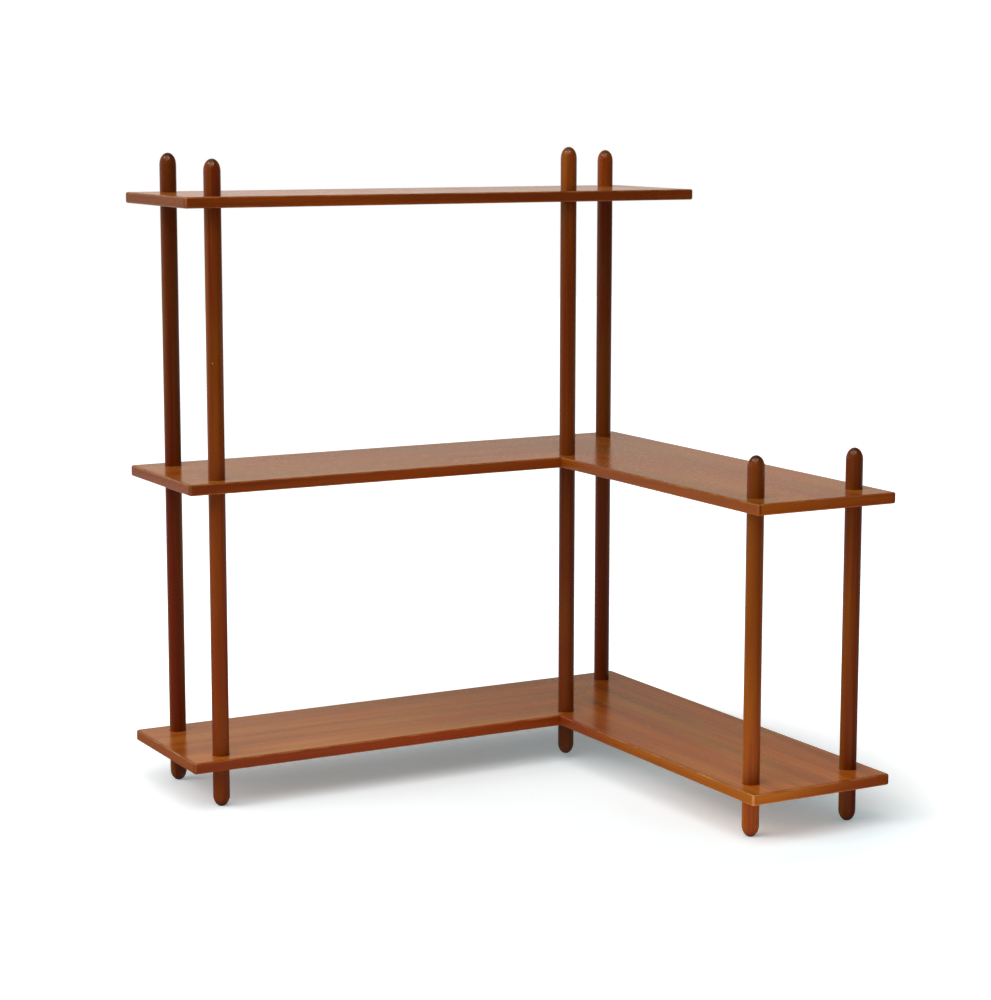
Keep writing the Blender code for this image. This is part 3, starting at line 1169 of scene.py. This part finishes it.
@dataclass
class BoardSet:
    """The five boards: veneered panels with solid lippings."""

    plan: Plan
    groups: ShaderGroups
    arris: float = 0.003
    corner: float = 0.0055
    arris_segments: int = 8
    seam: float = 0.00006
    bore_gap: float = 0.0003
    bore_chamfer: float = 0.0005
    bore_sides: int = 72
    run_past: float = 0.010
    level_seed: float = 1.7
    right_seed: float = 0.9
    cut_from: Point = (1.0, 0.7, 0.4)
    flat_facing: float = 0.999
    slice_reach: float = 0.0000001
    veneer: WoodFinish = VENEER
    lipping: WoodFinish = LIPPING

    def specs(self) -> list[BoardSpec]:
        """List the boards, from the top down.

        Returns:
            The boards.
        """
        plan = self.plan
        left = ((plan.low.x, plan.front), (plan.high.x, plan.high.y))
        right = ((plan.inner, plan.low.y), (plan.high.x, plan.high.y))
        boards = [BoardSpec("top", "top", *left, 0, ("front", "rear"), ("left", "right"), 0, 0.0)]
        for index, level in enumerate(("middle", "bottom"), start=1):
            name, seed = level + "_left", self.level_seed * index
            boards.append(BoardSpec(name, level, *left, 0, ("front", "rear"), ("end", None), 1, seed))
            name, seed = level + "_right", seed + self.right_seed
            boards.append(BoardSpec(name, level, *right, 1, ("inner", "outer"), ("end", None), -1, seed))
        return boards

    def regions(self, board: BoardSpec) -> Iterator[tuple[str, int, list[float], list[float]]]:
        """Divide a board into its panel and its lippings.

        Args:
            board: The board.

        Yields:
            Each piece's kind, its grain's axis, and its spans along and across the run.
        """
        along, across = board.along, 1 - board.along
        start, stop = board.low[along], board.high[along]
        low, high = board.low[across], board.high[across]
        seat = self.plan.lipping + self.seam
        inside = [start + seat, stop - seat if board.ends[1] else stop + self.run_past]
        core = [low + seat, high - seat]
        whole = [start - self.run_past, stop + self.run_past]
        yield "panel", along, inside, core
        yield board.long_edges[0] + "_lipping", along, whole, [low - self.run_past, low + self.plan.lipping]
        yield board.long_edges[1] + "_lipping", along, whole, [high - self.plan.lipping, high + self.run_past]
        yield board.ends[0] + "_lipping", across, [start - self.run_past, start + self.plan.lipping], core
        if board.ends[1]:
            yield board.ends[1] + "_lipping", across, [stop - self.plan.lipping, stop + self.run_past], core

    def blank(
        self, name: str, board: BoardSpec, along_span: list[float], across_span: list[float]
    ) -> bpy.types.Object:
        """Cut a whole rounded board down to one of its pieces.

        Args:
            name: The piece's name.
            board: The board that it is part of.
            along_span: Where the piece starts and stops along the run.
            across_span: Where the piece starts and stops across the run.

        Returns:
            The piece, not yet bored.
        """
        top = self.plan.levels[board.level]
        shape = Meshes.block(Vector((*board.low, top - self.plan.board)), Vector((*board.high, top)))
        self._round(shape, self.corner, upright=True)
        self._round(shape, self.arris, upright=False)
        axes = [Vector(Grain.X.value), Vector(Grain.Y.value)]
        for axis, span in ((axes[board.along], along_span), (axes[1 - board.along], across_span)):
            self._slice(shape, axis * span[0], -axis)
            self._slice(shape, axis * span[1], axis)
        if board.mitre_side:
            out = Vector((1.0, -1.0, 0.0)).normalized() * board.mitre_side
            corner = Vector((self.plan.inner, self.plan.front, 0.0))
            self._slice(shape, corner - out * self.seam / 2, out)
        return Meshes.shaped(name, shape)

    def _round(self, shape: bmesh.types.BMesh, radius: float, upright: bool) -> None:
        """Round some of a board's edges.

        Args:
            shape: The board.
            radius: How far they are rounded.
            upright: Whether the four corners are, or else the edges round the top and the underside.
        """
        edges = []
        for edge in shape.edges:
            ends = [vert.co for vert in edge.verts]
            if (abs(ends[0].z - ends[1].z) > self.plan.board / 2) == upright:
                edges.append(edge)
        bmesh.ops.bevel(
            shape,
            geom=edges,
            offset=radius,
            segments=self.arris_segments,
            profile=0.5,
            affect="EDGES",
        )

    def _slice(self, shape: bmesh.types.BMesh, place: Vector, outward: Vector) -> None:
        """Cut away what lies beyond a plane and close the cut.

        Args:
            shape: What is cut.
            place: A point on the plane.
            outward: The side of the plane that goes.
        """
        cut = bmesh.ops.bisect_plane(
            shape,
            geom=shape.verts[:] + shape.edges[:] + shape.faces[:],
            plane_co=place,
            plane_no=outward,
            clear_outer=True,
            dist=self.slice_reach,
        )
        rim = [item for item in cut["geom_cut"] if isinstance(item, bmesh.types.BMEdge) and item.is_boundary]
        if rim:
            bmesh.ops.edgeloop_fill(shape, edges=rim)

    def _veneer_over(self, lipping: bpy.types.Object, veneer: bpy.types.Material) -> None:
        """Let the panel's veneer run out over the flat top and underside of a lipping.

        Args:
            lipping: The lipping.
            veneer: The panel's material.
        """
        lipping.data.materials.append(veneer)
        for face in lipping.data.polygons:
            if abs(face.normal.z) > self.flat_facing:
                face.material_index = 1

    def bores(self) -> list[bpy.types.Object]:
        """Make a cutter for each post, flared where it leaves each board.

        Returns:
            The cutters.
        """
        radius = self.plan.post_radius + self.bore_gap
        flare = radius + self.bore_chamfer + self.run_past
        made = []
        for name in Plan.POST_NAMES:
            tip = self.plan.posts[name][1].z
            profile = [(0.0, tip)]
            for level in Plan.LEVEL_NODES:
                over = self.plan.levels[level]
                under = over - self.plan.board
                if over < tip:
                    profile.append((flare, over + self.run_past))
                    profile.append((radius, over - self.bore_chamfer))
                    profile.append((radius, under + self.bore_chamfer))
                    profile.append((flare, under - self.run_past))
            profile.append((0.0, -self.run_past))
            cutter = Meshes.turned("bore_" + name, profile, self.bore_sides)
            cutter.location = self.plan.post_axis(name)
            made.append(cutter)
        return made

    def build(self, pockets: Sequence[bpy.types.Object]) -> list[bpy.types.Object]:
        """Make every board.

        Args:
            pockets: What cuts the screws' pockets.

        Returns:
            One object for each panel and lipping.
        """
        bores = self.bores()
        pieces = []
        for board in self.specs():
            offset = tuple(part * board.seed for part in self.cut_from)
            for kind, grain_axis, along_span, across_span in self.regions(board):
                node = f"{board.name}_{kind}"
                piece = self.blank("teak_" + node, board, along_span, across_span)
                if kind == "panel":
                    Meshes.cut(piece, [*bores, *pockets])
                finish = self.veneer if kind == "panel" else self.lipping
                # The piece's tone and drifts: partly its own tone, partly painted light and shade.
                finish = replace(finish, drifts=PAINTED_LIGHT_DRIFTS.get(node, ())).toned(TONES_AND_PAINTED_LIGHT.get(node, WHITE))
                # The near corner's lippings: paler edges and no dark end grain, partly wear and partly
                # painted light.
                if node in RUBBED_AND_LIT:
                    finish = replace(finish, end_depth=0.0, wear_and_highlight=1.0)
                grain = Grain.X if grain_axis == 0 else Grain.Y
                piece.data.materials.clear()
                piece.data.materials.append(finish.material(node, self.groups, grain, offset))
                if kind == "panel":
                    veneer = piece.data.materials[0]
                else:
                    self._veneer_over(piece, veneer)
                Meshes.smooth(piece)
                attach(piece, BODY)
                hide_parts(node)
                log.info("%s: %d faces", piece.name, len(piece.data.polygons))
                pieces.append(piece)
        Meshes.discard(bores)
        return pieces


@dataclass
class DowelSet:
    """The dowels inside the mitres, which keep the frame's own solids."""

    nodes: dict[str, bpy.types.Object]
    groups: ShaderGroups
    finish: WoodFinish = BEECH

    def dress(self) -> None:
        """Give each dowel its beech."""
        material = self.finish.material("dowels", self.groups, Grain.X, (0.0, 0.0, 0.0))
        for name, node in self.nodes.items():
            if name.endswith("_dowel"):
                node.data.materials.clear()
                node.data.materials.append(material)
                log.info("%s: dressed", name)


@dataclass(frozen=True)
class Panel:
    """A soft light panel: its place, facing, size and brightness, and what it acts on."""

    name: str
    place: Point
    facing: Point
    size: tuple[float, float]
    brightness: float
    mirrored: bool = False
    lights: bool = True
    colour: Colour = WHITE

    @classmethod
    def glint(cls, name: str, place: Point, facing: Point) -> Panel:
        """A small warm lamp that shows only as a highlight in the varnish."""
        look = {"size": (0.9, 0.9), "brightness": 38.0, "colour": (1.0, 0.60, 0.52)}
        return cls(name, place, facing, mirrored=True, lights=False, **look)

    def build(self) -> None:
        """Add the lamp, hidden from the camera itself."""
        data = bpy.data.lights.new(self.name, "AREA")
        data.shape = "RECTANGLE"
        data.size, data.size_y = self.size
        data.energy = math.pi * self.size[0] * self.size[1] * self.brightness
        data.color = self.colour
        made = bpy.data.objects.new(self.name, data)
        made.location = self.place
        made.rotation_euler = Vector(self.facing).to_track_quat("-Z", "Y").to_euler()
        made.visible_camera = False
        made.visible_glossy = self.mirrored
        made.visible_diffuse = self.lights
        bpy.context.scene.collection.objects.link(made)


@dataclass
class Studio:
    """Camera, lamps, world and floor."""

    place: Point = (-1.8573, -3.3649, 1.0780)
    azimuth: float = -29.90
    elevation: float = 8.52
    roll: float = 0.22
    focal_pixels: float = 2531.5
    centre: tuple[float, float] = (545.0, 483.9)
    sensor: float = 36.0

    # The surroundings: their strength as a light, then the room that the varnish mirrors.
    ambient: float = 0.36
    room_colour: Colour = (1.0, 0.74, 0.53)
    room_rearward: Ramp = Ramp(-0.3, 0.7, 0.05, 0.51)
    above_skyline: Ramp = Ramp(0.03, 0.14)
    below_skyline: Ramp = Ramp(-0.02, 0.01, 1.0, 0.0)
    skyline: Ramp = Ramp(0.0, 1.0, 2.5, 1.0)
    steep: Ramp = Ramp(0.16, 0.22)
    steep_sideways: Ramp = Ramp(0.36, 0.48, 1.38, 0.75)
    level_share: float = 0.9

    # The floor: its colours, its glow by the place on it, and a painted lighter patch and cyan tint in the
    # shadow.
    floor_half_width: float = 9.0
    floor_lit: Colour = (0.80, 0.80, 0.80)
    floor_seen: Colour = (0.96, 0.98, 0.99)
    floor_mirrored: Colour = (0.04, 0.04, 0.04)
    floor_skew: float = 0.577
    floor_rearward: Ramp = Ramp(-0.6, 1.8, 0.05, 0.45)
    floor_far: Ramp = Ramp(0.42, 1.05)
    floor_glow: Ramp = Ramp(0.0, 1.0, 0.205, 0.80)
    # Painted light: a lighter patch in the shadow near the corner, seen only by the camera.
    painted_corner_light: Spot = Spot((0.26, 0.04, 0.0), Ramp(0.0, 0.30, 0.10, 0.0))
    bounces: tuple[Spot, ...] = (
        Spot((-0.15, -0.25, 0.0), Ramp(0.1, 0.45, 2.0, 0.0)),
        Spot((0.15, -0.68, 0.0), Ramp(0.1, 0.45, 2.8, 0.0)),
    )
    # Painted cyan tint of the shadow's glow, against the pink that the wood throws into it, stronger at the
    # rosy spot.
    shadow_colour: Colour = (0.80, 1.0, 1.03)
    shadow_edge: Ramp = Ramp(0.0, 0.5)
    rosy: Spot = Spot((0.30, -0.42, 0.0), Ramp(0.0, 0.32, 0.30, 0.0))
    rosy_remedy: Colour = (0.0, 1.0, 1.20)

    panels: tuple[Panel, ...] = (
        Panel("high_window", (-3.5, -0.9, 3.0), (1.0, 0.0, 0.0), (5.2, 1.2), 3.9),
        Panel("rear_window", (-3.5, 1.75, 1.2), (1.0, 0.0, 0.0), (3.5, 2.4), 2.7),
        Panel("ceiling", (-1.75, -1.75, 3.6), (0.0, 0.0, -1.0), (3.5, 3.5), 2.35, mirrored=True),
        Panel.glint("left_glint", (-4.0, 0.9, 5.3), (0.66, -0.15, -0.74)),
        Panel.glint("front_glint", (0.0, -3.3, 5.8), (0.0, 0.55, -0.83)),
    )

    def camera(self) -> None:
        """Set a camera at the photograph's viewing angle."""
        data = bpy.data.cameras.new("camera")
        made = bpy.data.objects.new("camera", data)
        bpy.context.scene.collection.objects.link(made)
        turn, tilt = math.radians(self.azimuth), math.radians(self.elevation)
        ahead = Vector((-math.sin(turn) * math.cos(tilt), math.cos(turn) * math.cos(tilt), -math.sin(tilt)))
        right = Vector((math.cos(turn), math.sin(turn), 0.0))
        up = right.cross(ahead)
        lean = math.radians(self.roll)
        side = right * math.cos(lean) + up * math.sin(lean)
        up = up * math.cos(lean) - right * math.sin(lean)
        axes = Matrix((side, up, -ahead)).transposed().to_4x4()
        made.matrix_world = Matrix.Translation(self.place) @ axes
        long_side = max(PICTURE)
        data.sensor_width = self.sensor
        data.lens = self.focal_pixels * self.sensor / long_side
        data.shift_x = (PICTURE[0] / 2 - self.centre[0]) / long_side
        data.shift_y = (self.centre[1] - PICTURE[1] / 2) / long_side
        bpy.context.scene.camera = made

    @staticmethod
    def _rays(graph: Graph) -> tuple[Any, bpy.types.NodeSocket]:
        """The kinds of ray, and whether a ray is a mirrored or a refracted one."""
        rays = graph.node("ShaderNodeLightPath").outputs
        return rays, graph.math("MAXIMUM", rays["Is Glossy Ray"], rays["Is Transmission Ray"])

    def world(self) -> None:
        """Set white behind the object, a softer light, and a dim warm room in the varnish."""
        world = bpy.data.worlds.new("studio")
        bpy.context.scene.world = world
        world.use_nodes = True
        graph = Graph(world.node_tree)
        rays, shiny = self._rays(graph)
        way = graph.parts(graph.node("ShaderNodeTexCoord").outputs["Generated"])
        off = graph.remap(way["Z"], self.above_skyline)
        off = graph.math("MAXIMUM", off, graph.remap(way["Z"], self.below_skyline))
        room = graph.remap(way["Y"], self.room_rearward)
        room = graph.math("MULTIPLY", room, graph.remap(off, self.skyline))
        sideways = graph.remap(way["X"], self.steep_sideways)
        share = graph.blend(graph.remap(way["Z"], self.steep), self.level_share, sideways)
        room = graph.math("MULTIPLY", room, share)
        strength = graph.blend(shiny, self.ambient, room)
        strength = graph.math("MAXIMUM", strength, rays["Is Camera Ray"])
        background = world.node_tree.nodes["Background"]
        warm = graph.math("MULTIPLY", shiny, off)
        graph.put(background.inputs["Color"], graph.mix(warm, WHITE, self.room_colour))
        graph.put(background.inputs["Strength"], strength)

    def floor(self) -> None:
        """Lay a pale floor that reads as white, keeps the shadow and is clear from below.

        The bounces are bright spots on it that aren't seen and only light other surfaces.
        """
        shape = bmesh.new()
        bmesh.ops.create_grid(shape, x_segments=1, y_segments=1, size=self.floor_half_width)
        made = Meshes.shaped("floor", shape)
        material, graph, place = new_material("studio_floor")
        nodes = material.node_tree.nodes
        nodes.remove(nodes["Principled BSDF"])
        rays, shiny = self._rays(graph)
        seen = rays["Is Camera Ray"]
        colour = graph.mix(seen, self.floor_lit, self.floor_seen)
        colour = graph.mix(shiny, colour, self.floor_mirrored)
        diffuse = graph.node("ShaderNodeBsdfDiffuse", {"Color": colour})
        far = graph.remap(graph.vector("LENGTH", place, output=1), self.floor_far)
        # The glow seen by the camera, with the painted lighter patch in the shadow.
        level = graph.math("ADD", graph.remap(far, self.floor_glow), graph.spot(place, self.painted_corner_light))
        parts = graph.parts(place)
        rearward = graph.math("MULTIPLY_ADD", parts["X"], self.floor_skew, parts["Y"])
        mirrored = graph.remap(rearward, self.floor_rearward)
        strength = graph.math("MULTIPLY_ADD", shiny, mirrored, graph.math("MULTIPLY", seen, level))
        for bounce in self.bounces:
            patch = graph.math("MULTIPLY", graph.spot(place, bounce), rays["Is Diffuse Ray"])
            strength = graph.math("ADD", strength, patch)
        unseen = graph.math("SUBTRACT", 1.0, seen)
        plain = graph.math("MAXIMUM", graph.remap(far, self.shadow_edge), unseen)
        # Painted cyan tint in the shadow, against the wood's pink bounce.
        hue = graph.mix(plain, self.shadow_colour, WHITE)
        rosy = graph.math("MULTIPLY", graph.spot(place, self.rosy), seen)
        hue = graph.mix(rosy, hue, self.rosy_remedy)
        glow = graph.node("ShaderNodeEmission", {"Color": hue, "Strength": strength})
        total = graph.node("ShaderNodeAddShader", {0: diffuse.outputs[0], 1: glow.outputs[0]})
        clear = graph.node("ShaderNodeBsdfTransparent").outputs[0]
        under = graph.node("ShaderNodeNewGeometry").outputs["Backfacing"]
        sided = graph.node("ShaderNodeMixShader", {0: under, 1: total.outputs[0], 2: clear})
        graph.put(nodes["Material Output"].inputs["Surface"], sided.outputs[0])
        made.data.materials.append(material)

    def build(self) -> None:
        """Set up the whole studio."""
        self.camera()
        self.world()
        self.floor()
        for panel in self.panels:
            panel.build()
        bpy.context.scene.view_settings.view_transform = "Standard"


def main() -> None:
    """Build the unit's looks round the frame and report each piece."""
    logging.basicConfig(level=logging.INFO, format="%(name)s %(message)s")
    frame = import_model()
    Studio().build()
    groups = ShaderGroups()
    plan = Plan.read()
    screws = ScrewSet(plan)
    pockets = screws.pockets()
    bpy.context.view_layer.update()
    BoardSet(plan, groups).build(pockets)
    PostSet(plan, groups).build(pockets)
    Meshes.discard(pockets)
    screws.build()
    DowelSet(frame["nodes"], groups).dress()


if __name__ == "__main__":
    main()
